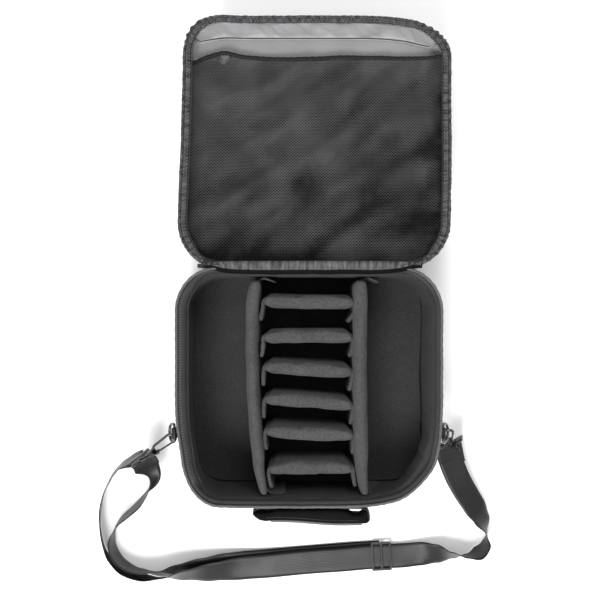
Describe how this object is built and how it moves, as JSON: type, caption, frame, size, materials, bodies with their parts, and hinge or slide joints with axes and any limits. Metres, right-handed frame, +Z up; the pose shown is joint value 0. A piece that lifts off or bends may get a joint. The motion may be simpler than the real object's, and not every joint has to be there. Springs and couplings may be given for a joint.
{
  "type": "telescope carry case",
  "caption": "Soft padded zip case opened flat, with lift-out padded dividers, a mesh pocket in the lid, a carry handle and a clip-on shoulder strap.",
  "frame": {"origin": "centre of the base's bottom face, on the surface it stands on", "axes": "+Z up, +Y from the carry handle towards the hinge and the open lid, +X to the right"},
  "size_m": [0.6053, 0.8371, 0.1492],
  "materials": {
    "shell_fabric": "woven nylon, matte",
    "stiffener_board": "matte",
    "foam": "closed-cell foam",
    "loop_lining": "brushed loop fabric",
    "grey_lining": "smooth nylon",
    "piping": "woven binding",
    "zipper_tape": "woven tape",
    "zipper_coil": "nylon coil",
    "mesh": "open knitted mesh",
    "elastic": "ribbed elastic",
    "webbing": "ribbed webbing",
    "divider_cover": "brushed loop fabric",
    "hook_tab": "hook tape",
    "hardware": "dark nickel",
    "zipper_metal": "black lacquer"
  },
  "bodies": {
    "base": {"base_bottom_panel": "shell_fabric", "base_bottom_board": "stiffener_board", "base_bottom_foam": "foam", "base_wall_fabric": "shell_fabric", "base_wall_foam": "foam", "base_lining": "loop_lining", "base_piping": "piping", "base_zipper_tape": "zipper_tape", "base_zipper_coil": "zipper_coil", "handle_patch_left": "webbing", "handle_patch_right": "webbing", "web_tab_left": "webbing", "web_tab_right": "webbing", "strap_ring_left": "hardware", "strap_ring_right": "hardware", "strap_main_run": "webbing", "strap_return_run": "webbing"},
    "lid": {"lid_top_panel": "shell_fabric", "lid_top_foam": "foam", "lid_wall_fabric": "shell_fabric", "lid_wall_foam": "foam", "lid_lining": "grey_lining", "lid_piping": "piping", "lid_zipper_tape": "zipper_tape", "lid_zipper_coil": "zipper_coil", "mesh_pocket": "mesh", "pocket_elastic": "elastic", "hinge_strip": "shell_fabric"},
    "handle": {"handle_webbing": "webbing", "handle_grip": "shell_fabric"},
    "left_divider": {"left_divider": "divider_cover", "left_divider_tabs": "hook_tab"},
    "right_divider": {"right_divider": "divider_cover", "right_divider_tabs": "hook_tab"},
    "short_divider_1": {"short_divider_1": "divider_cover", "short_divider_1_tabs": "hook_tab"},
    "short_divider_2": {"short_divider_2": "divider_cover", "short_divider_2_tabs": "hook_tab"},
    "short_divider_3": {"short_divider_3": "divider_cover", "short_divider_3_tabs": "hook_tab"},
    "short_divider_4": {"short_divider_4": "divider_cover", "short_divider_4_tabs": "hook_tab"},
    "short_divider_5": {"short_divider_5": "divider_cover", "short_divider_5_tabs": "hook_tab"},
    "short_divider_6": {"short_divider_6": "divider_cover", "short_divider_6_tabs": "hook_tab"},
    "d_ring_left": {"d_ring_left": "hardware"},
    "snap_hook_left": {"snap_hook_left": "hardware"},
    "hook_gate_left": {"hook_gate_left": "hardware"},
    "zipper_slider_left": {"zipper_slider_left": "zipper_metal"},
    "zipper_pull_left": {"zipper_pull_left": "zipper_metal"},
    "d_ring_right": {"d_ring_right": "hardware"},
    "snap_hook_right": {"snap_hook_right": "hardware"},
    "hook_gate_right": {"hook_gate_right": "hardware"},
    "zipper_slider_right": {"zipper_slider_right": "zipper_metal"},
    "zipper_pull_right": {"zipper_pull_right": "zipper_metal"},
    "strap_adjuster": {"strap_adjuster": "hardware"}
  },
  "joints": [
    {"name": "lid_hinge", "type": "hinge", "parent": "base", "child": "lid", "pos_m": [0, 0.1725, 0.149], "axis": [-1, 0, 0], "range_deg": [-180, 0], "deforming": ["hinge_strip"]},
    {"name": "handle_swing", "type": "hinge", "parent": "base", "child": "handle", "pos_m": [0, -0.1718, 0.134], "axis": [-1, 0, 0], "range_deg": [0, 70]},
    {"name": "left_divider_lift", "type": "slide", "parent": "base", "child": "left_divider", "axis": [0, 0, 1], "range_m": [0, 0.12]},
    {"name": "right_divider_lift", "type": "slide", "parent": "base", "child": "right_divider", "axis": [0, 0, 1], "range_m": [0, 0.12]},
    {"name": "short_divider_1_lift", "type": "slide", "parent": "base", "child": "short_divider_1", "axis": [0, 0, 1], "range_m": [0, 0.11]},
    {"name": "short_divider_2_lift", "type": "slide", "parent": "base", "child": "short_divider_2", "axis": [0, 0, 1], "range_m": [0, 0.11]},
    {"name": "short_divider_3_lift", "type": "slide", "parent": "base", "child": "short_divider_3", "axis": [0, 0, 1], "range_m": [0, 0.11]},
    {"name": "short_divider_4_lift", "type": "slide", "parent": "base", "child": "short_divider_4", "axis": [0, 0, 1], "range_m": [0, 0.11]},
    {"name": "short_divider_5_lift", "type": "slide", "parent": "base", "child": "short_divider_5", "axis": [0, 0, 1], "range_m": [0, 0.11]},
    {"name": "short_divider_6_lift", "type": "slide", "parent": "base", "child": "short_divider_6", "axis": [0, 0, 1], "range_m": [0, 0.11]},
    {"name": "d_ring_left_swing", "type": "hinge", "parent": "base", "child": "d_ring_left", "pos_m": [-0.1944, -0.069, 0.115], "axis": [0, 1, 0], "range_deg": [-6, 6]},
    {"name": "snap_hook_left_swivel", "type": "hinge", "parent": "base", "child": "snap_hook_left", "pos_m": [-0.202, -0.07819, 0.1007], "axis": [0.6698, 0.5533, 0.4951], "range_deg": [-12, 12]},
    {"name": "hook_gate_left_open", "type": "hinge", "parent": "snap_hook_left", "child": "hook_gate_left", "pos_m": [-0.22311, -0.1007, 0.08069], "axis": [-0.0154, -0.6563, 0.7543], "range_deg": [0, 18], "stiffness_Nm_per_rad": 0.01},
    {"name": "zipper_slider_left_slide", "type": "slide", "parent": "base", "child": "zipper_slider_left", "axis": [-1, 0, 0], "range_m": [0, 0.01]},
    {"name": "zipper_pull_left_swing", "type": "hinge", "parent": "zipper_slider_left", "child": "zipper_pull_left", "pos_m": [-0.152, 0.1722, 0.1369], "axis": [0, -1, 0], "range_deg": [-70, 12]},
    {"name": "d_ring_right_swing", "type": "hinge", "parent": "base", "child": "d_ring_right", "pos_m": [0.1944, -0.069, 0.115], "axis": [0, 1, 0], "range_deg": [-6, 6]},
    {"name": "snap_hook_right_swivel", "type": "hinge", "parent": "base", "child": "snap_hook_right", "pos_m": [0.20379, -0.069, 0.09734], "axis": [-0.1661, 0.453, 0.8759], "range_deg": [-12, 12]},
    {"name": "hook_gate_right_open", "type": "hinge", "parent": "snap_hook_right", "child": "hook_gate_right", "pos_m": [0.21427, -0.08554, 0.06621], "axis": [-0.0844, -0.8915, 0.4451], "range_deg": [0, 18], "stiffness_Nm_per_rad": 0.01},
    {"name": "zipper_slider_right_slide", "type": "slide", "parent": "base", "child": "zipper_slider_right", "axis": [1, 0, 0], "range_m": [0, 0.01]},
    {"name": "zipper_pull_right_swing", "type": "hinge", "parent": "zipper_slider_right", "child": "zipper_pull_right", "pos_m": [0.152, 0.1722, 0.1369], "axis": [0, 1, 0], "range_deg": [-70, 12]},
    {"name": "strap_adjuster_slide", "type": "slide", "parent": "base", "child": "strap_adjuster", "axis": [1, 0, 0], "range_m": [-0.02, 0.02]}
  ]
}
